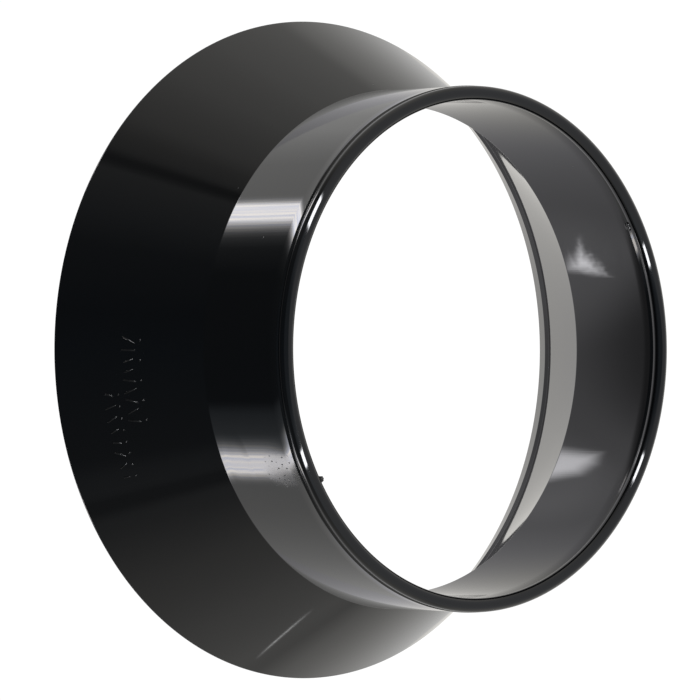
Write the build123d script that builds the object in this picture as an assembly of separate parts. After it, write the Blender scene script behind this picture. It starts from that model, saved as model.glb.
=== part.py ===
from build123d import *
import math
import os

# Weathering collar for a 110 mm soil pipe: one moulding, a short collar that slides
# down the pipe and a conical skirt that throws the rain clear of the roof flashing.
# Frame: +Z up the pipe's axis, origin at the centre of the skirt's foot. Millimetres.

# --- what it fits -----------------------------------------------------------------
pipe_radius = 55.0          # plain 110 mm soil pipe
pipe_clearance = 0.3        # radial room between the pipe and the collar's bore

# --- collar -----------------------------------------------------------------------
collar_wall = 3.2
collar_height = 27.0        # from the crease where the skirt starts to the very top
collar_draft = 0.25         # how much further out the collar's wall stands at the crease

# --- rolled top edge --------------------------------------------------------------
groove_angle = 30.0         # degrees below level where the top roll meets its groove
groove_run = 3.0            # height over which the wall eases in to that groove

# --- skirt ------------------------------------------------------------------------
skirt_height = 31.0
skirt_overhang = 17.6       # how far the foot stands out past the collar's wall
skirt_low_wall = 2.5        # square to the skirt, just above the foot band
crease_round = 0.4          # inside corner between the bore and the skirt

# --- thicker band inside the skirt's foot ------------------------------------------
band_wall = 3.2             # square to the skirt
band_height = 4.6
band_step = 1.2             # height over which the skirt thickens to the band
band_round = 0.4
foot_round = 0.5

# --- worked out from the above ------------------------------------------------------
bore_radius = pipe_radius + pipe_clearance
collar_radius = bore_radius + collar_wall
crease_radius = collar_radius + collar_draft
overall_height = skirt_height + collar_height
foot_radius = crease_radius + skirt_overhang
roll_radius = collar_wall / 2
roll_centre_radius = bore_radius + roll_radius
roll_centre_height = overall_height - roll_radius
skirt_lean = math.atan2(skirt_overhang, skirt_height)


def skirt_outside(height):
    """Radius of the skirt's outer face at a height."""
    return foot_radius - height * math.tan(skirt_lean)


def skirt_inside(height, wall):
    """Radius of the skirt's inner face, for a wall of this thickness square to it."""
    return skirt_outside(height) - wall / math.cos(skirt_lean)


def inner_crease_height():
    """Height at which the bore turns into the skirt, with the collar's wall kept round the bend."""
    return skirt_height - collar_wall * math.tan(skirt_lean / 2) + collar_draft / math.tan(skirt_lean)


def on_roll(degrees):
    """A point on the full round along the collar's top, by its angle from straight outward."""
    turn = math.radians(degrees)
    return (
        roll_centre_radius + roll_radius * math.cos(turn),
        roll_centre_height + roll_radius * math.sin(turn),
    )


def round_corner(section, point, radius):
    """Round the section's corner nearest to this radius and height."""
    corner = section.vertices().sort_by_distance((point[0], point[1], 0))[0]
    fillet(corner, radius)


def collar_section():
    """Half section of the whole moulding, up the outside and back down the inside."""
    groove_out = on_roll(-groove_angle)
    groove_in = on_roll(180 + groove_angle)
    ease_height = groove_out[1] - groove_run
    band_top = band_height + band_step
    outer_foot = (foot_radius, 0)
    outer_crease = (crease_radius, skirt_height)
    outer_ease = (collar_radius, ease_height)
    inner_ease = (bore_radius, ease_height)
    inner_crease = (bore_radius, inner_crease_height())
    above_band = (skirt_inside(band_top, skirt_low_wall), band_top)
    band_edge = (skirt_inside(band_height, band_wall), band_height)
    inner_foot = (skirt_inside(0, band_wall), 0)
    with BuildSketch(Plane.XZ) as section:
        with BuildLine():
            Polyline(outer_foot, outer_crease, outer_ease)
            TangentArc(outer_ease, groove_out, tangent=(0, 1))
            ThreePointArc(groove_out, on_roll(30), on_roll(90))
            ThreePointArc(on_roll(90), on_roll(150), groove_in)
            TangentArc(inner_ease, groove_in, tangent=(0, 1))
            Polyline(inner_ease, inner_crease, above_band, band_edge, inner_foot, outer_foot)
        make_face()
        round_corner(section, inner_crease, crease_round)
        round_corner(section, above_band, band_round)
        round_corner(section, band_edge, band_round)
        round_corner(section, inner_foot, foot_round)
        round_corner(section, outer_foot, foot_round)
    return section.sketch


def weathering_collar():
    """The moulding itself: its half section turned once round the pipe's axis."""
    return revolve(collar_section(), axis=Axis.Z)


os.makedirs("parts", exist_ok=True)
export_step(weathering_collar(), "parts/weathering_collar.step")
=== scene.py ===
# %% [markdown]
# # A weathering collar for a soil pipe
# The collar is one black plastic moulding: a short round sleeve that slides down a 110 mm
# pipe, and a conical skirt that throws the rain clear of the flashing round the pipe.
# Everything here is in metres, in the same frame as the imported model: +Z runs up the pipe,
# and the origin is at the centre of the skirt's foot.

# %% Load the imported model
import bmesh
import bpy
import math
from mathutils import Matrix, Vector


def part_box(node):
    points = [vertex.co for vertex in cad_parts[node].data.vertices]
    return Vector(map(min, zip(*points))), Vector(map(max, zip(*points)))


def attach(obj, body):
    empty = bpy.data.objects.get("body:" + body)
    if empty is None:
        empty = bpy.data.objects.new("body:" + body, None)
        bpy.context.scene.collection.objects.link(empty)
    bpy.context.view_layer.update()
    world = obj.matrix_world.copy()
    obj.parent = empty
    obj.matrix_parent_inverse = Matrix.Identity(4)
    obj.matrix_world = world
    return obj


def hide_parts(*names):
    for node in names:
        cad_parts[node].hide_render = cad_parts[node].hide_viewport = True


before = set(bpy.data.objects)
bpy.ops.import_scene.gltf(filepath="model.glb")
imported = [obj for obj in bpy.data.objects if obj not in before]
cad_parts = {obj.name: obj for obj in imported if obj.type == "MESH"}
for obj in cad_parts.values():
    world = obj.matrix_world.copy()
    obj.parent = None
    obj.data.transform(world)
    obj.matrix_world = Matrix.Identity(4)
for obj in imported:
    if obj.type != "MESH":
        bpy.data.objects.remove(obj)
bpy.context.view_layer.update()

# %% [markdown]
# ## The section
# A turned shape is known by its half section: a line up the outside, over the rolled top
# and back down the inside. The sizes below are the moulding's own, in millimetres, and
# each one is written once. Walls, drafts and rounds follow from them.

# %% Sizes of the moulding
MM = 0.001
lowest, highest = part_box("weathering_collar")
overall_height = (highest.z - lowest.z) / MM
bore_radius = 55.3
collar_wall = 3.2
collar_height = 27.0
collar_draft = 0.25
skirt_height = overall_height - collar_height
skirt_overhang = 17.6
skirt_low_wall = 2.5
band_wall = 3.2
band_height = 4.6
band_step = 1.2
groove_angle = 30.0
groove_run = 3.0
lip_out = 0.12
lip_drop = 0.50
outer_crease_round = 0.25
inner_round = 0.4
foot_round = 0.5

# %% Sizes that follow from them
collar_radius = bore_radius + collar_wall
crease_radius = collar_radius + collar_draft
roll_radius = collar_wall / 2
roll_centre = (bore_radius + roll_radius, overall_height - roll_radius)
groove_height = roll_centre[1] - roll_radius * math.sin(math.radians(groove_angle))
foot_radius = crease_radius + skirt_overhang
skirt_lean = math.atan2(skirt_overhang, skirt_height)
print("overall height, mm:", round(overall_height, 2))
print("the skirt leans", round(math.degrees(skirt_lean), 1), "degrees from upright")


# %% [markdown]
# Three small helpers draw the section. `straight` puts extra points close to both ends of
# a run, because smooth shading blends each face with its neighbours: without a narrow face
# beside each round, the blend would bend the reflections on the flat faces.

# %% Helpers that draw runs and rounds
def straight(start, end, step=2.2, edge=0.12):
    """Points along a run, closer together just inside its ends."""
    length = math.dist(start, end)
    pieces = max(2, round((length - 2 * edge) / step))
    along = [0, edge] + [edge + (length - 2 * edge) * i / pieces for i in range(1, pieces)]
    along += [length - edge]
    return [tuple(a + (b - a) * s / length for a, b in zip(start, end)) for s in along]


def sweep(centre, radius, first, last, pieces):
    """Points along an arc, by its angles in degrees from straight outward."""
    turns = [math.radians(first + (last - first) * i / pieces) for i in range(pieces + 1)]
    return [(centre[0] + radius * math.cos(a), centre[1] + radius * math.sin(a)) for a in turns]


def rounded(before, corner, after, radius, pieces=8):
    """Points of the arc that rounds a corner between two runs."""
    corner = Vector(corner)
    back = (Vector(before) - corner).normalized()
    ahead = (Vector(after) - corner).normalized()
    half = back.angle(ahead) / 2
    centre = corner + (back + ahead).normalized() * (radius / math.sin(half))
    start = corner + back * (radius / math.tan(half)) - centre
    end = corner + ahead * (radius / math.tan(half)) - centre
    turn = math.copysign(math.pi - 2 * half, start.cross(end))
    arc = []
    for i in range(pieces + 1):
        a = turn * i / pieces
        arc.append((centre.x + start.x * math.cos(a) - start.y * math.sin(a),
                    centre.y + start.x * math.sin(a) + start.y * math.cos(a)))
    return arc


def skirt_outside(height):
    """Radius of the skirt's outer face at a height."""
    return foot_radius - height * math.tan(skirt_lean)


def skirt_inside(height, wall):
    """Radius of the skirt's inner face, for a wall of this thickness square to it."""
    return skirt_outside(height) - wall / math.cos(skirt_lean)


# %% [markdown]
# The section's corners come first, then the rounds between them. The top is a full round as
# thick as the wall. Just under it, inside and out, the wall eases in by a few tenths of a
# millimetre, which is why the top reads as a bead with a fine dark line below it. Outside,
# a small lip stands over that line, where the two halves of the tool meet.

# %% The section's corners
ease_height = groove_height - groove_run
crease_drop = collar_wall * math.tan(skirt_lean / 2) - collar_draft / math.tan(skirt_lean)
inner_crease = (bore_radius, skirt_height - crease_drop)
foot_out = (foot_radius, 0.0)
crease_out = (crease_radius, skirt_height)
ease_out = (collar_radius, ease_height)
ease_in = (bore_radius, ease_height)
band_top = (skirt_inside(band_height + band_step, skirt_low_wall), band_height + band_step)
band_edge = (skirt_inside(band_height, band_wall), band_height)
foot_in = (skirt_inside(0, band_wall), 0.0)
lip = (collar_radius + lip_out, groove_height - lip_drop)
print("lip, mm:", round(lip[0], 2), round(lip[1], 2))

# %% [markdown]
# The roll has a narrow face beside each groove, for the same reason as the straight runs: a
# wide last face would smear the gleam along the groove. The ease into a groove is a shallow
# arc that leaves the wall with no kink.

# %% The roll and the ease below it
roll = sweep(roll_centre, roll_radius, -groove_angle, 180 + groove_angle, 48)
roll[1:1] = sweep(roll_centre, roll_radius, 1 - groove_angle, 2 - groove_angle, 1)
roll[-1:-1] = sweep(roll_centre, roll_radius, 178 + groove_angle, 179 + groove_angle, 1)


def ease(start, end, pieces=10):
    """Points of the shallow arc that leaves a wall straight up and ends at the groove."""
    run, rise = end[0] - start[0], end[1] - start[1]
    radius = (run * run + rise * rise) / (2 * run)
    turn = math.asin(rise / abs(radius))
    steps = [turn * i / pieces for i in range(pieces)] + [turn * 0.99, turn]
    return [(start[0] + radius - radius * math.cos(a), start[1] + abs(radius) * math.sin(a)) for a in steps]


# %% Join the rounds with straight runs
arcs = [
    rounded(foot_in, foot_out, crease_out, foot_round),
    rounded(foot_out, crease_out, ease_out, outer_crease_round, 5),
    ease(ease_out, lip),
    roll,
    ease(ease_in, roll[-1])[::-1],
    rounded(ease_in, inner_crease, band_top, inner_round),
    rounded(inner_crease, band_top, band_edge, inner_round),
    rounded(band_top, band_edge, foot_in, inner_round),
    rounded(band_edge, foot_in, foot_out, foot_round),
]
section = []
for arc, following in zip(arcs, arcs[1:] + arcs[:1]):
    section += arc
    if math.dist(arc[-1], following[0]) > 0.05:
        section += straight(arc[-1], following[0])[1:]
section = [p for p, q in zip(section, section[1:] + section[:1]) if math.dist(p, q) > 0.004]
print("points round the section:", len(section))


# %% [markdown]
# ## Turning the section
# On the real line the moulding comes out of a steel tool that was turned on a lathe. Here a
# Geometry Nodes tree does the turning: the section is the object's own mesh, a closed line,
# and the tree sweeps it round a circle. A modifier's Screw would do it too, but in a tree the
# number of steps and the finish are named inputs, and more parts can join before the end.

# %% Helpers that build node trees
def add(tree, kind, **settings):
    """Put a node in a tree, set its own settings, and return it."""
    node = tree.nodes.new(kind)
    for name, value in settings.items():
        setattr(node, name, value)
    return node


def feed(tree, node, **inputs):
    """Give a node's inputs, by name with _ for a space, a plain value or another node's output."""
    for name, value in inputs.items():
        socket = node.inputs[name.replace("_", " ")]
        if isinstance(value, bpy.types.NodeSocket):
            tree.links.new(value, socket)
        else:
            socket.default_value = value
    return node


# %% Run a tree and keep its mesh
def finish_tree(obj, tree, values):
    """Run a tree on an object with these named inputs, and keep the result as its plain mesh."""
    live = obj.modifiers.new(tree.name, "NODES")
    live.node_group = tree
    for item in tree.interface.items_tree:
        if item.in_out == "INPUT" and item.name in values:
            live[item.identifier] = values[item.name]
    ready = obj.evaluated_get(bpy.context.evaluated_depsgraph_get())
    mesh = bpy.data.meshes.new_from_object(ready)
    obj.modifiers.remove(live)
    obj.data = mesh
    return obj


# %% The tree that turns a section
turning = bpy.data.node_groups.new("turn the section", "GeometryNodeTree")
turning.interface.new_socket("Section", in_out="INPUT", socket_type="NodeSocketGeometry")
turning.interface.new_socket("Steps Round", in_out="INPUT", socket_type="NodeSocketInt")
turning.interface.new_socket("Circle Radius", in_out="INPUT", socket_type="NodeSocketFloat")
turning.interface.new_socket("Finish", in_out="INPUT", socket_type="NodeSocketMaterial")
turning.interface.new_socket("Moulding", in_out="OUTPUT", socket_type="NodeSocketGeometry")
given = add(turning, "NodeGroupInput").outputs
circle = add(turning, "GeometryNodeCurvePrimitiveCircle")
feed(turning, circle, Resolution=given["Steps Round"], Radius=given["Circle Radius"])
line = feed(turning, add(turning, "GeometryNodeMeshToCurve"), Mesh=given["Section"])
swept = add(turning, "GeometryNodeCurveToMesh")
feed(turning, swept, Curve=circle.outputs["Curve"], Profile_Curve=line.outputs["Curve"])
smooth = feed(turning, add(turning, "GeometryNodeSetShadeSmooth"), Geometry=swept.outputs["Mesh"])
plain = feed(turning, add(turning, "GeometryNodeRealizeInstances"), Geometry=smooth.outputs["Geometry"])
coated = add(turning, "GeometryNodeSetMaterial")
feed(turning, coated, Geometry=plain.outputs["Geometry"], Material=given["Finish"])
turning.links.new(coated.outputs["Geometry"], add(turning, "NodeGroupOutput").inputs["Moulding"])
print("tree:", turning.name, "with", len(turning.nodes), "nodes")


# %% [markdown]
# ## The finish
# Gloss black unplasticised vinyl has almost no colour of its own, so what one sees is what it
# mirrors. That puts the work into the surface: a slow waviness from the moulding, fine lines
# drawn along the pipe's axis as the moulding left its tool, a few scuffs, and specks of dust.
# All of it is procedural and reads Object coordinates, so it stays put from every side.

# %% Black vinyl and its own numbers
vinyl = bpy.data.materials.new("gloss black vinyl")
vinyl.use_nodes = True
skin = vinyl.node_tree
shader = skin.nodes["Principled BSDF"]
shader.inputs["IOR"].default_value = 1.53
print("finish:", vinyl.name, " index of refraction", round(shader.inputs["IOR"].default_value, 2))


# %% Helpers for sums and soft steps
def maths(tree, operation, first, second=0.0, third=0.0):
    """One Math node: each input is a plain number or another node's output."""
    node = add(tree, "ShaderNodeMath", operation=operation)
    for socket, value in zip(node.inputs, (first, second, third)):
        if isinstance(value, bpy.types.NodeSocket):
            tree.links.new(value, socket)
        else:
            socket.default_value = value
    return node.outputs[0]


def smoothstep(tree, value, start, end, low=0.0, high=1.0):
    """A soft step: low before start, high after end."""
    node = add(tree, "ShaderNodeMapRange", interpolation_type="SMOOTHSTEP")
    feed(tree, node, Value=value, From_Min=start, From_Max=end, To_Min=low, To_Max=high)
    return node.outputs["Result"]


# %% [markdown]
# Two coordinates suit a turned shape: the angle round the axis and the height. The angle is 0
# at the front and grows towards the collar's left side, its -X side. A patch of wear is then
# a soft spot in angle and height.

# %% Angle and height on the moulding
place = add(skin, "ShaderNodeTexCoord").outputs["Object"]
axes = feed(skin, add(skin, "ShaderNodeSeparateXYZ"), Vector=place).outputs
leftward = maths(skin, "MULTIPLY", axes["X"], -1.0)
frontward = maths(skin, "MULTIPLY", axes["Y"], -1.0)
angle = maths(skin, "MULTIPLY", maths(skin, "ARCTAN2", leftward, frontward), 180 / math.pi)
height = maths(skin, "MULTIPLY", axes["Z"], 1 / MM)


def patch(middle_angle, middle_height, half_angle, half_height):
    """A soft round spot on the moulding, 1 in its middle and 0 outside it."""
    sideways = maths(skin, "DIVIDE", maths(skin, "SUBTRACT", angle, middle_angle), half_angle)
    upward = maths(skin, "DIVIDE", maths(skin, "SUBTRACT", height, middle_height), half_height)
    squares = maths(skin, "MULTIPLY_ADD", sideways, sideways, maths(skin, "MULTIPLY", upward, upward))
    return smoothstep(skin, squares, 1.0, 0.15)


def noise(scale, detail=2.0, stretch=(1, 1, 1), roughness=0.5):
    """Noise on the moulding: scale in cells per metre, stretched by dividing the scale along an axis."""
    mapped = feed(skin, add(skin, "ShaderNodeMapping"), Vector=place, Scale=stretch)
    node = add(skin, "ShaderNodeTexNoise")
    feed(skin, node, Vector=mapped.outputs["Vector"], Scale=scale, Detail=detail, Roughness=roughness)
    return node.outputs["Fac"]


# %% [markdown]
# Where the moulding was pulled about, its skin shows it: scuffs and pits by the gate, a shallow
# dimple low in the sleeve, and a crumpled patch inside the bore, opposite. Each is a patch that
# some finer pattern is multiplied by, so the wear stays where it belongs and has no hard edge.
# Dust is a few cells picked at random out of many; the pits are picked the same way.

# %% Patches of wear, drawn lines and dust
scuffed = patch(-26.5, 50.5, 5.5, 8)
dimple = patch(-25, 36.3, 9, 4.5)
crumpled = patch(156, 42, 9, 9)
drawn = noise(2600, 1.0, (1, 1, 0.02))
smears = noise(55, 3.0, (1, 1, 0.6))
specks = add(skin, "ShaderNodeTexVoronoi")
feed(skin, specks, Vector=place, Scale=170.0)
chosen = feed(skin, add(skin, "ShaderNodeSeparateColor"), Color=specks.outputs["Color"]).outputs["Red"]
small = smoothstep(skin, specks.outputs["Distance"], 0.034, 0.018)
dust = maths(skin, "MULTIPLY", small, maths(skin, "GREATER_THAN", chosen, 0.8))

# %% Fine pits in the scuffed patch
stretched = feed(skin, add(skin, "ShaderNodeMapping"), Vector=place, Scale=(1, 1, 0.55))
nicks = add(skin, "ShaderNodeTexVoronoi")
feed(skin, nicks, Vector=stretched.outputs["Vector"], Scale=1600.0)
picked = feed(skin, add(skin, "ShaderNodeSeparateColor"), Color=nicks.outputs["Color"]).outputs["Green"]
tiny = smoothstep(skin, nicks.outputs["Distance"], 0.36, 0.18)
pits = maths(skin, "MULTIPLY", tiny, smoothstep(skin, picked, 0.35, 0.6))

# %% [markdown]
# Smears change the roughness a little all over, pits and scuffs much more. Dust is the only
# thing with a colour of its own, a pale grey.

# %% Roughness and colour
pitted = maths(skin, "MULTIPLY", scuffed, pits)
rough = smoothstep(skin, smears, 0.4, 0.75, 0.035, 0.085)
rough = maths(skin, "MULTIPLY_ADD", pitted, 0.32, rough)
rough = maths(skin, "MULTIPLY_ADD", scuffed, 0.12, rough)
rough = maths(skin, "MULTIPLY_ADD", dust, 0.5, rough)
skin.links.new(rough, shader.inputs["Roughness"])
tone = add(skin, "ShaderNodeMix", data_type="RGBA")
skin.links.new(dust, tone.inputs[0])
tone.inputs[6].default_value = (0.0044, 0.0047, 0.0056, 1)
tone.inputs[7].default_value = (0.12, 0.12, 0.115, 1)
skin.links.new(tone.outputs[2], shader.inputs["Base Color"])

# %% [markdown]
# The relief is real heights in metres, added up and given to one Bump node: slow waves of 22
# thousandths of a millimetre, and drawn lines of less than two. Waves this low are far too
# small for the mesh, but the eye sees them at once in a gloss surface.

# %% Relief, in metres
wavy = maths(skin, "MULTIPLY", noise(70, 1.0, (1, 1, 0.5)), 0.000022)
drawn_below_roll = maths(skin, "MULTIPLY", drawn, smoothstep(skin, height, 54, 52))
lines = maths(skin, "MULTIPLY", drawn_below_roll, 0.0000016)
dented = maths(skin, "MULTIPLY", noise(700, 1.0), scuffed)
dents = maths(skin, "MULTIPLY", dented, 0.000005)
folded = maths(skin, "MULTIPLY", noise(260, 2.0, (1, 1, 0.5)), crumpled)
folds = maths(skin, "MULTIPLY", folded, 0.000028)
sunk = maths(skin, "MULTIPLY", dimple, 0.000012)
relief = maths(skin, "ADD", maths(skin, "ADD", wavy, lines), maths(skin, "ADD", dents, folds))
relief = maths(skin, "ADD", relief, sunk)
bump = feed(skin, add(skin, "ShaderNodeBump"), Height=relief, Strength=1.0, Distance=1.0)
skin.links.new(bump.outputs["Normal"], shader.inputs["Normal"])
print("finish:", len(skin.nodes), "nodes")


# %% [markdown]
# ## Turn the collar
# The section becomes a mesh of edges only. The sweep lays the section's own X along the radius,
# so the radius of the circle that it follows is taken off first.

# %% Turn the section into the collar
outline = bpy.data.meshes.new("collar section")
middle = crease_radius * MM
corners = [(r * MM - middle, -z * MM, 0) for r, z in section]
outline.from_pydata(corners, [(i, (i + 1) % len(corners)) for i in range(len(corners))], [])
collar = bpy.data.objects.new("weathering_collar_moulding", outline)
bpy.context.scene.collection.objects.link(collar)
finish_tree(collar, turning, {"Steps Round": 400, "Circle Radius": middle, "Finish": vinyl})
print("collar: points", len(collar.data.vertices))

# %% [markdown]
# Beside the front gate the wall isn't quite round, as is common near a gate: here it swells by
# about a tenth of a millimetre. It could be bump, but a swell this wide is a shape, so the
# mesh itself is moved: outside points only, with a soft hill that is flat at its rim.

# %% The swell beside the gate
swell_angle, swell_half_angle = -24.5, 6
swell_height, swell_half_height = 56, 10
swell_out = 0.12
shell = bmesh.new()
shell.from_mesh(collar.data)
for vertex in shell.verts:
    around = math.degrees(math.atan2(-vertex.co.x, -vertex.co.y))
    sideways = (around - swell_angle) / swell_half_angle
    upward = (vertex.co.z / MM - swell_height) / swell_half_height
    off = math.hypot(sideways, upward)
    if off < 1 and vertex.co.xy.length > roll_centre[0] * MM:
        vertex.co.xy *= 1 + swell_out / collar_radius * (1 - off * off) ** 2

# %% Turn the faces outwards and measure
bmesh.ops.recalc_face_normals(shell, faces=shell.faces)
open_edges = sum(1 for e in shell.edges if len(e.link_faces) != 2)
print("collar: faces", len(shell.faces), " open edges:", open_edges)
print("volume, cm3:", round(shell.calc_volume() * 1e6, 2))
shell.to_mesh(collar.data)
shell.free()


# %% [markdown]
# ## Raised marks on the skirt
# Mouldings like this carry a couple of rows of small raised characters, cut into the tool with
# a round-nosed cutter, so each stroke is a thin half-round ridge with a rounded end. Here the
# rows are plain strokes, not words. A tree puts one stroke at each place along a row: the
# places follow the skirt's cone by angle, and each stroke leans with it.

# %% The tree that sets a row of strokes
rowing = bpy.data.node_groups.new("row of raised strokes", "GeometryNodeTree")
rowing.interface.new_socket("Geometry", in_out="INPUT", socket_type="NodeSocketGeometry")
for name, kind in (("Count", "Int"), ("Seed", "Int"), ("First Angle", "Float"), ("Step Angle", "Float"),
                   ("Height", "Float"), ("Radius", "Float"), ("Lean", "Float"), ("Length", "Float"),
                   ("Thickness", "Float"), ("Finish", "Material")):
    rowing.interface.new_socket(name, in_out="INPUT", socket_type="NodeSocket" + kind)
rowing.interface.new_socket("Strokes", in_out="OUTPUT", socket_type="NodeSocketGeometry")
given = add(rowing, "NodeGroupInput").outputs
spots = feed(rowing, add(rowing, "GeometryNodeMeshLine"), Count=given["Count"])
number = add(rowing, "GeometryNodeInputIndex").outputs["Index"]
turn = maths(rowing, "MULTIPLY_ADD", number, given["Step Angle"], given["First Angle"])
back = maths(rowing, "MULTIPLY", given["Radius"], -1.0)
onto = add(rowing, "ShaderNodeCombineXYZ")
feed(rowing, onto, X=maths(rowing, "MULTIPLY", back, maths(rowing, "SINE", turn)),
     Y=maths(rowing, "MULTIPLY", back, maths(rowing, "COSINE", turn)), Z=given["Height"])

# %% A place and a lean for each stroke
placed = add(rowing, "GeometryNodeSetPosition")
feed(rowing, placed, Geometry=spots.outputs["Mesh"], Position=onto.outputs["Vector"])
tilt = add(rowing, "ShaderNodeCombineXYZ")
feed(rowing, tilt, X=maths(rowing, "MULTIPLY", given["Lean"], -1.0), Z=maths(rowing, "MULTIPLY", turn, -1.0))

# %% The stroke itself, a long bead
bead = feed(rowing, add(rowing, "GeometryNodeMeshUVSphere"), Segments=12, Rings=8, Radius=given["Thickness"])
long = add(rowing, "ShaderNodeSeparateXYZ")
rowing.links.new(add(rowing, "GeometryNodeInputPosition").outputs["Position"], long.inputs["Vector"])
half = maths(rowing, "MULTIPLY", given["Length"], 0.5)
pull = maths(rowing, "MULTIPLY", maths(rowing, "SIGN", long.outputs["Z"]), half)
drawn_out = feed(rowing, add(rowing, "ShaderNodeCombineXYZ"), Z=pull)
stroke = add(rowing, "GeometryNodeSetPosition")
feed(rowing, stroke, Geometry=bead.outputs["Mesh"], Offset=drawn_out.outputs["Vector"])

# %% [markdown]
# Two random values with fixed seeds, one for the length of a stroke and one for how far it
# slants, keep the row from looking stamped.

# %% Vary, set and slant the strokes
vary = add(rowing, "FunctionNodeRandomValue", data_type="FLOAT")
feed(rowing, vary, Seed=given["Seed"])
vary.inputs[2].default_value = 0.55
vary.inputs[3].default_value = 1.0
stretch = feed(rowing, add(rowing, "ShaderNodeCombineXYZ"), X=1.0, Y=1.0, Z=vary.outputs[1])
each = add(rowing, "GeometryNodeInstanceOnPoints")
feed(rowing, each, Points=placed.outputs["Geometry"], Instance=stroke.outputs["Geometry"],
     Rotation=tilt.outputs["Vector"], Scale=stretch.outputs["Vector"])
swing = add(rowing, "FunctionNodeRandomValue", data_type="FLOAT")
feed(rowing, swing, Seed=maths(rowing, "ADD", given["Seed"], 1.0))
swing.inputs[2].default_value = -0.5
swing.inputs[3].default_value = 0.5
about = feed(rowing, add(rowing, "ShaderNodeCombineXYZ"), Y=swing.outputs[1])
slanted = add(rowing, "GeometryNodeRotateInstances")
feed(rowing, slanted, Instances=each.outputs["Instances"], Rotation=about.outputs["Vector"])
solid = feed(rowing, add(rowing, "GeometryNodeRealizeInstances"), Geometry=slanted.outputs["Instances"])
smooth = feed(rowing, add(rowing, "GeometryNodeSetShadeSmooth"), Geometry=solid.outputs["Geometry"])
coated = add(rowing, "GeometryNodeSetMaterial")
feed(rowing, coated, Geometry=smooth.outputs["Geometry"], Material=given["Finish"])
rowing.links.new(coated.outputs["Geometry"], add(rowing, "NodeGroupOutput").inputs["Strokes"])
print("tree:", rowing.name, "with", len(rowing.nodes), "nodes")


# %% Set the rows
def row(name, first, step, count, at_height, length, thickness, seed):
    """One row of strokes on the skirt's outside: angles in degrees, sizes in millimetres."""
    strokes = bpy.data.objects.new(name, bpy.data.meshes.new(name))
    bpy.context.scene.collection.objects.link(strokes)
    inputs = {"Count": count, "Seed": seed, "Finish": vinyl, "Lean": skirt_lean,
              "First Angle": math.radians(first), "Step Angle": math.radians(step),
              "Height": at_height * MM, "Radius": skirt_outside(at_height) * MM,
              "Length": length * MM, "Thickness": thickness * MM}
    return finish_tree(strokes, rowing, inputs)


rows = [
    row("upper row", -13.2, 1.9, 9, 15.7, 3.0, 0.18, 3),
    row("upper row dots", -13.2, 3.8, 5, 18.1, 0.0, 0.30, 5),
    row("lower row", -23.4, 2.2, 8, 11.2, 2.5, 0.18, 8),
    row("lower row dots", -23.4, 2.2, 8, 13.1, 0.0, 0.30, 2),
]
print("strokes:", {strokes.name: len(strokes.data.polygons) for strokes in rows})


# %% [markdown]
# ## Where the gates were cut
# The vinyl runs into the tool through a bar across the collar's mouth. When the bar is cut
# away it leaves two small nubs on the rolled edge's inside, opposite each other. A ball that
# two waves and a slanting cut make lopsided is enough for a thing a millimetre across.

# %% Gate nubs
def gate_nub(name, at_angle, radius, at_height, size):
    """A worn stub with a rough, lopsided top, half sunk in the wall it was cut from."""
    stub = bmesh.new()
    bmesh.ops.create_icosphere(stub, subdivisions=4, radius=1.0)
    for vertex in stub.verts:
        lumps = 0.10 * math.sin(5 * vertex.co.x + 2) * math.cos(7 * vertex.co.z)
        lumps += 0.06 * math.sin(11 * vertex.co.y)
        cut = 1.0 - 0.35 * max(0.0, vertex.co.x) * (1 if vertex.co.y > 0 else 0.3)
        vertex.co = vertex.co * (cut + lumps)
        vertex.co = Vector(vertex.co[i] * size[i] * MM for i in range(3))
    mesh = bpy.data.meshes.new(name)
    stub.to_mesh(mesh)
    stub.free()
    turned = Matrix.Rotation(math.radians(-90 - at_angle), 4, "Z")
    mesh.transform(turned @ Matrix.Translation((radius * MM, 0, at_height * MM)))
    mesh.polygons.foreach_set("use_smooth", [True] * len(mesh.polygons))
    mesh.materials.append(vinyl)
    nub = bpy.data.objects.new(name, mesh)
    bpy.context.scene.collection.objects.link(nub)
    return nub


# %% Two nubs, opposite each other
gates = [
    gate_nub("gate nub front", -30.3, 55.6, 56.9, (1.15, 0.8, 0.55)),
    gate_nub("gate nub back", 149.7, 55.5, 55.2, (0.5, 1.05, 1.0)),
]
print("gate nubs:", [gate.name for gate in gates])

# %% [markdown]
# The marks and the nubs are one piece with the moulding, so they join its mesh.

# %% One moulding
for part in rows + gates:
    extra = bmesh.new()
    extra.from_mesh(collar.data)
    extra.from_mesh(part.data)
    extra.to_mesh(collar.data)
    extra.free()
    bpy.data.objects.remove(part)
triangles = sum(len(p.vertices) - 2 for p in collar.data.polygons)
print("collar with its marks: triangles", triangles)
print("materials:", [m.name for m in collar.data.materials])
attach(collar, "root")
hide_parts("weathering_collar")


# %% [markdown]
# ## The studio
# A gloss black thing is lit by what stands round it. The room is drawn straight into the world's
# shader by direction: dark cloth in front, where the camera stands, pale sheets at the sides
# and white behind. Three colour ramps hold the greys, one for each height of gaze.

# %% [markdown]
# The greys are bluish in front, where the light has come through cloth, and a little warm
# behind. A ramp works that out for each of its stops from the direction alone.

# %% Helpers for greys
cool_reach = 65
coolest_blue = 1.2


def ramp(tree, factor, stops, behind=1.0):
    """A colour ramp of greys by (degrees, grey), cool in front and with this much blue behind."""
    node = feed(tree, add(tree, "ShaderNodeValToRGB"), Fac=factor)
    bar = node.color_ramp
    while len(bar.elements) < len(stops):
        bar.elements.new(0.5)
    for element, (degrees, grey) in zip(bar.elements, stops):
        cool = max(0.0, 1 - abs(degrees) / cool_reach)
        red = 1 + 0.4 * (1 - behind) - (coolest_blue - 1) * cool
        blue = behind + (coolest_blue - behind) * cool
        element.position = degrees / 360 + 0.5
        element.color = (grey * red, grey, grey * blue, 1)
    return node.outputs["Color"]


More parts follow.
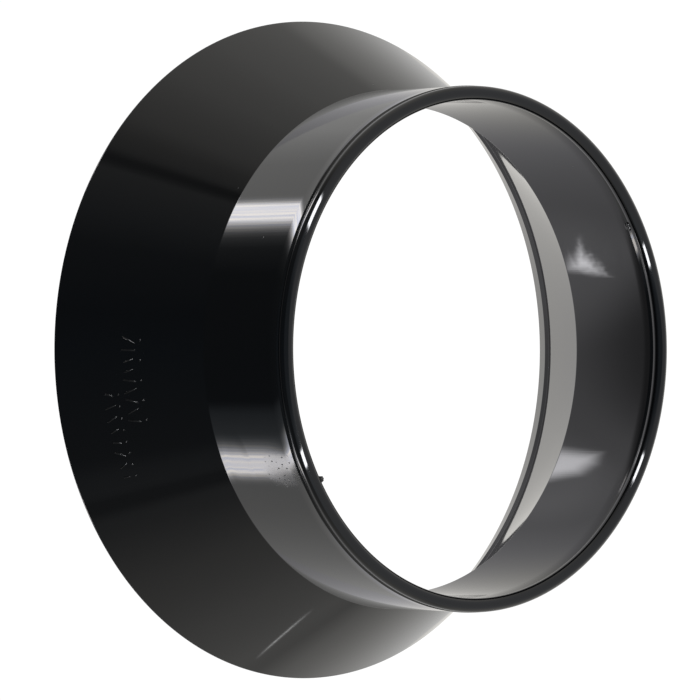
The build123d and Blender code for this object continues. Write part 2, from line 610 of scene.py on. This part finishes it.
def blend(tree, factor, first, second):
    """A Mix node between two colours."""
    node = add(tree, "ShaderNodeMix", data_type="RGBA")
    for socket, value in zip((node.inputs[0], node.inputs[6], node.inputs[7]), (factor, first, second)):
        tree.links.new(value, socket)
    return node.outputs[2]


# %% [markdown]
# The first ramp is what stands round the room at the level of the eyes, by degrees from the
# front: dark cloth in the middle, with two dark posts at its edges, then paler and paler
# walls. The second is the lower part of the room and the third the ceiling. They are blended
# by how steeply one looks.

# %% Which way a ray goes
room = bpy.data.worlds.new("studio room")
bpy.context.scene.world = room
room.use_nodes = True
sky = room.node_tree
sky.nodes.clear()
way = add(sky, "ShaderNodeTexCoord").outputs["Generated"]
gaze = feed(sky, add(sky, "ShaderNodeSeparateXYZ"), Vector=way).outputs
leftward = maths(sky, "MULTIPLY", gaze["X"], -1.0)
frontward = maths(sky, "MULTIPLY", gaze["Y"], -1.0)
bearing = maths(sky, "ARCTAN2", leftward, frontward)
round_room = maths(sky, "MULTIPLY_ADD", bearing, 0.5 / math.pi, 0.5)

# %% The greys of the room, by degrees from the front
right_walls = [
    (-180, 1.0), (-150, .76), (-138, .68), (-125, .59),
    (-118, .44), (-112, .57), (-95, .56), (-72, .42)]
right_post = [(-55, .24), (-51, .22), (-48, .12), (-45, .12), (-43, .17), (-38, .15)]
front_cloth = [(-33, .095), (0, .07), (12, .06), (32, .085), (42, .15), (55, .225)]
left_post = [(57, .09), (59, .10), (61, .24), (66, .30)]
left_walls = [(72, .45), (90, .63), (107, .65), (126, .53), (131, .64), (150, .70), (180, 1.0)]
level = ramp(sky, round_room, right_walls + right_post + front_cloth + left_post + left_walls, 0.96)
low_right = [
    (-180, .72), (-125, .78), (-105, .75), (-75, .75), (-62, .8),
    (-44, .6), (-37, .26), (-28, .17), (-23, .05)]
low_left = [(34, .05), (46, .10), (54, .35), (70, 1.1), (90, .93), (113, .98), (125, .84), (180, .72)]
low = ramp(sky, round_room, low_right + low_left, 0.985)
high_right = [(-180, .56), (-90, .58), (-50, .58), (-25, .22)]
high_left = [(25, .18), (45, .38), (75, .52), (105, .58), (180, .56)]
high = ramp(sky, round_room, high_right + high_left, 1.04)
print("room: stops in its three ramps", [len(r.node.color_ramp.elements) for r in (level, low, high)])

# %% [markdown]
# The camera itself should see plain white behind the collar, not this room. A Light Path node
# tells the two apart: a ray straight from the camera gets white, and a mirrored one the room.

# %% Blend the ramps, and white for the camera
glow = blend(sky, smoothstep(sky, gaze["Z"], -.35, -.65), level, low)
glow = blend(sky, smoothstep(sky, gaze["Z"], .2, .5), glow, high)
mirrored = feed(sky, add(sky, "ShaderNodeBackground"), Color=glow)
plain_white = feed(sky, add(sky, "ShaderNodeBackground"), Color=(1, 1, 1, 1), Strength=1.05)
seen = add(sky, "ShaderNodeLightPath").outputs["Is Camera Ray"]
either = feed(sky, add(sky, "ShaderNodeMixShader"), Fac=seen)
sky.links.new(mirrored.outputs[0], either.inputs[1])
sky.links.new(plain_white.outputs[0], either.inputs[2])
sky.links.new(either.outputs[0], add(sky, "ShaderNodeOutputWorld").inputs["Surface"])


# %% [markdown]
# ## Windows and lamps
# The bright strips on the sleeve are two windows low in front of it, and the short gleams on
# the roll are two lamps overhead. An emitting plane can stand for each. It is hidden from the
# camera, from shadows and from matt surfaces, so it shows only in the gloss and doesn't
# change the light on anything else. Its edges fade, because a window seen in a moulding that
# isn't quite true has soft sides.

# %% A finish that glows and fades at its edges
def slope(tree, value, start, end, low=0.0, high=1.0):
    """A straight ramp from low at start to high at end, level outside it."""
    node = add(tree, "ShaderNodeMapRange")
    feed(tree, node, Value=value, From_Min=start, From_Max=end, To_Min=low, To_Max=high)
    return node.outputs["Result"]


def glow_material(name, strength, edges, streaks, tint):
    """An emitting finish that falls off towards a panel's edges, with fine streaks along it."""
    paper = bpy.data.materials.new(name)
    paper.use_nodes = True
    tree = paper.node_tree
    tree.nodes.clear()
    place = add(tree, "ShaderNodeTexCoord").outputs["UV"]
    share = feed(tree, add(tree, "ShaderNodeSeparateXYZ"), Vector=place).outputs
    first = slope(tree, share["X"], 0.0, edges[0])
    second = slope(tree, share["X"], 1.0, 1 - edges[1])
    from_middle = maths(tree, "ABSOLUTE", maths(tree, "SUBTRACT", share["Y"], 0.5))
    ends = slope(tree, from_middle, 0.5, 0.5 - edges[2])
    fade = maths(tree, "POWER", maths(tree, "MULTIPLY", first, second), 4.0)
    fade = maths(tree, "MULTIPLY", fade, ends)
    along = feed(tree, add(tree, "ShaderNodeMapping"), Vector=place, Scale=(22, 2, 1))
    grain = add(tree, "ShaderNodeTexNoise")
    feed(tree, grain, Vector=along.outputs["Vector"], Scale=1.0, Detail=2.0)
    bright = maths(tree, "MULTIPLY", slope(tree, grain.outputs["Fac"], 0.3, 0.62, 1 - streaks, 1.0), strength)
    colour = add(tree, "ShaderNodeMix", data_type="RGBA")
    tree.links.new(slope(tree, grain.outputs["Fac"], 0.42, 0.58), colour.inputs[0])
    colour.inputs[6].default_value = tint
    colour.inputs[7].default_value = (1, 0.95, 0.90, 1) if streaks else tint
    light = feed(tree, add(tree, "ShaderNodeEmission"), Color=colour.outputs[2], Strength=bright)
    either = feed(tree, add(tree, "ShaderNodeMixShader"), Fac=fade)
    tree.links.new(add(tree, "ShaderNodeBsdfTransparent").outputs[0], either.inputs[1])
    tree.links.new(light.outputs[0], either.inputs[2])
    tree.links.new(either.outputs[0], add(tree, "ShaderNodeOutputMaterial").inputs["Surface"])
    return paper


# %% [markdown]
# Every light is a sheet of quads through rows of points, with a UV map that runs from 0 to 1
# across and along it, so one finish suits flat and curved ones.

# %% A sheet of light through rows of points
def light_sheet(name, rows, paper):
    """A sheet of light through rows of points, seen only in the gloss."""
    across = len(rows[0])
    faces = []
    for i in range(len(rows) - 1):
        for j in range(across - 1):
            a = i * across + j
            faces.append((a, a + 1, a + across + 1, a + across))
    mesh = bpy.data.meshes.new(name)
    mesh.from_pydata([p for points in rows for p in points], [], faces)
    shares = mesh.uv_layers.new(name="shares")
    for loop in mesh.loops:
        i, j = divmod(loop.vertex_index, across)
        shares.data[loop.index].uv = (j / (across - 1), i / (len(rows) - 1))
    mesh.materials.append(paper)
    card = bpy.data.objects.new(name, mesh)
    bpy.context.scene.collection.objects.link(card)
    card.visible_camera = False
    card.visible_shadow = False
    card.visible_diffuse = False
    return card


def panel(name, centre, target, size, finish):
    """A flat light that faces a target, its width level."""
    facing = (Vector(target) - Vector(centre)).normalized()
    side = Vector((0, 0, 1)).cross(facing).normalized() * (size[0] / 2)
    lie = facing.cross(side.normalized()) * (size[1] / 2)
    rows = [[Vector(centre) + side * u + lie * v for u in (-1, 1)] for v in (-1, 1)]
    return light_sheet(name, rows, glow_material(name, *finish))


# %% Places round the collar
def toward(azimuth, elevation, distance, start=(0, 0, 0.045)):
    """A place seen from near the collar: azimuth 0 is the front, positive to the collar's -X side."""
    a, e = math.radians(azimuth), math.radians(elevation)
    way = Vector((-math.sin(a) * math.cos(e), -math.cos(a) * math.cos(e), math.sin(e)))
    return Vector(start) + way * distance


# %% [markdown]
# A gleam sits where the surface turns the line of sight towards the lamp. So a lamp over the
# roll is placed backwards: for each way that the roll's surface faces, the line of sight is
# mirrored, and the sheet of light is laid along those directions. A flat box wouldn't do,
# because the mirrored directions of a thin roll run along a curve.

# %% Lamps laid along mirrored directions
camera_elevation = 48.5
lamp_distance = 0.45
lamp_steps = 16
lamp_white = (0.95, 0.96, 1, 1)
lamp_glow = (26.0, (0.2, 0.2, 0.1), 0.0, lamp_white)


def mirrored_way(azimuth, elevation):
    """Where the camera's line of sight goes after a surface that faces this way turns it."""
    normal = toward(azimuth, elevation, 1.0, (0, 0, 0))
    sight = toward(0, camera_elevation, 1.0, (0, 0, 0))
    return 2 * normal.dot(sight) * normal - sight


def high_box(name, azimuth, half_wide, lowest_tilt, highest_tilt):
    """A curved light that gleams on the rolled top wherever that faces between these angles."""
    rows = []
    for i in range(lamp_steps + 1):
        tilt = lowest_tilt + (highest_tilt - lowest_tilt) * i / lamp_steps
        ways = [mirrored_way(azimuth + half_wide * j, tilt) for j in (-1, 0, 1)]
        rows.append([Vector((0, 0, 0.056)) + way * lamp_distance for way in ways])
    return light_sheet(name, rows, glow_material(name, *lamp_glow))


# %% [markdown]
# Each window is aimed at the stretch of wall that mirrors it. The left one is wider and stands
# further off. Its glow is given as strength, how far each edge fades, how streaky it is, and
# its tint. The thin strip is a gap between cloths that shows as a hairline on the skirt.

# %% Set the windows and the lamps
window_blue = (0.86, 0.88, 1, 1)
plain = (1, 1, 1, 1)
right_wall = (.0247, -.053, .045)
left_wall = (-.030, -.050, .045)
skirt_right = (.0643, -.0215, .015)
right_place = toward(-49.6, -camera_elevation, 0.53, right_wall)
left_place = toward(60.6, -camera_elevation, 1.66, left_wall)
thin_place = toward(-111.2, -15, 0.06, skirt_right)
right_glow = (8.5, (0.30, 0.43, 0.15), 0.25, window_blue)
left_glow = (10.5, (0.46, 0.25, 0.15), 0.3, window_blue)
thin_glow = (3.2, (0.5, 0.5, 0.35), 0.0, plain)
lights = [
    panel("low strip right", right_place, right_wall, (0.190, 0.34), right_glow),
    panel("low strip left", left_place, left_wall, (0.498, 0.9), left_glow),
    high_box("high box left", 30.6, 5.4, 38, 60),
    high_box("high box right", -23.2, 4.2, 40, 62),
    panel("thin strip right", thin_place, skirt_right, (0.0036, 0.020), thin_glow),
]
print("lights:", [light.name for light in lights])

# %% [markdown]
# ## The sheet below
# Through the open bore the far wall mirrors what lies under the collar: a pale sheet, darker
# towards the front, with a soft glow on each side and two small bright patches. A disc below
# the floor stands for it. The patches are convex outlines, worked out as the least distance to
# any of their sides, which gives a soft edge at no extra cost.

# %% Helpers for soft outlines and glows
sheet_height = -0.060


def inside(tree, spot, corners, soft):
    """1 inside a convex outline, given anticlockwise in millimetres, and 0 outside, soft at its edge."""
    depth = None
    for (x0, y0), (x1, y1) in zip(corners, corners[1:] + corners[:1]):
        run = math.hypot(x1 - x0, y1 - y0)
        across = maths(tree, "MULTIPLY", spot["X"], -(y1 - y0) / run / MM)
        far = maths(tree, "MULTIPLY_ADD", spot["Y"], (x1 - x0) / run / MM, across)
        far = maths(tree, "SUBTRACT", far, (y0 * (x1 - x0) - x0 * (y1 - y0)) / run)
        depth = far if depth is None else maths(tree, "MINIMUM", depth, far)
    return smoothstep(tree, depth, 0.0, soft)


def halo(tree, place, middle, reach):
    """A soft round glow about a point of the sheet, in millimetres: 1 near it and 0 past its reach."""
    away = add(tree, "ShaderNodeVectorMath", operation="DISTANCE")
    tree.links.new(place, away.inputs[0])
    away.inputs[1].default_value = (middle[0] * MM, middle[1] * MM, sheet_height)
    return smoothstep(tree, away.outputs["Value"], reach * MM, reach * 0.3 * MM)


# %% The finish of the sheet
def sheet_paper(name):
    """Paper that glows, paler to the back, with two brighter spots on it."""
    paper = bpy.data.materials.new(name)
    paper.use_nodes = True
    tree = paper.node_tree
    tree.nodes.clear()
    place = add(tree, "ShaderNodeTexCoord").outputs["Object"]
    spot = feed(tree, add(tree, "ShaderNodeSeparateXYZ"), Vector=place).outputs
    nearby = smoothstep(tree, spot["Y"], -0.085, -0.045, 0.5, 1.0)
    backward = smoothstep(tree, spot["Y"], -0.058, -0.024, 0.34, 0.76)
    behind = smoothstep(tree, spot["Y"], 0.055, 0.100)
    strength = maths(tree, "MULTIPLY", nearby, backward)
    strength = maths(tree, "MULTIPLY", strength, maths(tree, "MULTIPLY_ADD", behind, 0.12, 1.0))
    strength = maths(tree, "MULTIPLY_ADD", halo(tree, place, (-48, 10), 34), 0.30, strength)
    strength = maths(tree, "MULTIPLY_ADD", halo(tree, place, (34, -19), 44), 0.30, strength)
    left_corners = [(-37, -9), (-41, 14), (-47, 15), (-60, 1), (-61, -10), (-56, -20)]
    right_corners = [(55, -5), (32, -17), (42, -38)]
    left_gleam = inside(tree, spot, left_corners, 9.0)
    right_gleam = inside(tree, spot, right_corners, 8.0)
    strength = maths(tree, "MULTIPLY_ADD", left_gleam, 5.6, strength)
    strength = maths(tree, "MULTIPLY_ADD", right_gleam, 8.0, strength)
    colour = add(tree, "ShaderNodeMix", data_type="RGBA")
    tree.links.new(behind, colour.inputs[0])
    colour.inputs[6].default_value = (1, 0.99, 1.03, 1)
    colour.inputs[7].default_value = (1.02, 1, 0.96, 1)
    light = feed(tree, add(tree, "ShaderNodeEmission"), Color=colour.outputs[2], Strength=strength)
    tree.links.new(light.outputs[0], add(tree, "ShaderNodeOutputMaterial").inputs["Surface"])
    return paper


# %% Lay the sheet
def lit_sheet(name, middle, radius, corners=96):
    """A disc that only the gloss sees."""
    mesh = bpy.data.meshes.new(name)
    turns = [2 * math.pi * i / corners for i in range(corners)]
    ways = [Vector((math.cos(a), math.sin(a), 0)) for a in turns]
    rim = [Vector(middle) + way * radius for way in ways]
    mesh.from_pydata(rim, [], [tuple(range(corners))])
    mesh.materials.append(sheet_paper(name))
    sheet = bpy.data.objects.new(name, mesh)
    bpy.context.scene.collection.objects.link(sheet)
    sheet.visible_camera = False
    sheet.visible_diffuse = False
    sheet.visible_shadow = False
    return sheet


below = lit_sheet("pale sheet below", (0, 0.010, sheet_height), 0.128)
print("sheet below:", len(below.data.vertices), "corners")

# %% [markdown]
# ## The floor
# The collar stands on a white table that is lit from underneath, so it casts no shadow. The
# floor glows, a hair below the foot, and only the camera sees it.

# %% A floor that is lit from underneath
floor_half, floor_drop = 3, 0.0004
floor_mesh = bpy.data.meshes.new("floor")
sides = ((-1, -1), (1, -1), (1, 1), (-1, 1))
floor_corners = [(x * floor_half, y * floor_half, -floor_drop) for x, y in sides]
floor_mesh.from_pydata(floor_corners, [], [(0, 1, 2, 3)])
white = bpy.data.materials.new("lit white floor")
white.use_nodes = True
floor_tree = white.node_tree
floor_tree.nodes.clear()
floor_light = feed(floor_tree, add(floor_tree, "ShaderNodeEmission"), Strength=1.05)
floor_output = add(floor_tree, "ShaderNodeOutputMaterial")
floor_tree.links.new(floor_light.outputs[0], floor_output.inputs["Surface"])
floor_mesh.materials.append(white)

# %% Put the floor in the scene
floor = bpy.data.objects.new("floor", floor_mesh)
bpy.context.scene.collection.objects.link(floor)
floor.visible_glossy = False
floor.visible_shadow = False
floor.visible_diffuse = False

# %% [markdown]
# ## The camera
# A long lens a metre away, looking down on the collar from the front by nearly fifty degrees,
# and turned on its side, so that the collar seems to lean on its skirt. Its three directions
# make the columns of its turn: right, up, and back towards the eye.

# %% A long lens, turned on its side
lens = bpy.data.cameras.new("camera")
lens.sensor_width = 36.0
lens.lens = 228.74
lens.clip_end = 100
camera = bpy.data.objects.new("camera", lens)
bpy.context.scene.collection.objects.link(camera)
bpy.context.scene.camera = camera
right = Vector((0.004974, 0.749097, 0.662442))
up = Vector((-0.999988, 0.003726, 0.003295))
back = right.cross(up)
turned = Matrix((right, up, back)).transposed().to_4x4()
camera.matrix_world = Matrix.Translation((0.000074, -0.676488, 0.777748)) @ turned
bpy.context.scene.view_settings.view_transform = "Standard"
print("camera looks along", [round(-v, 3) for v in back])
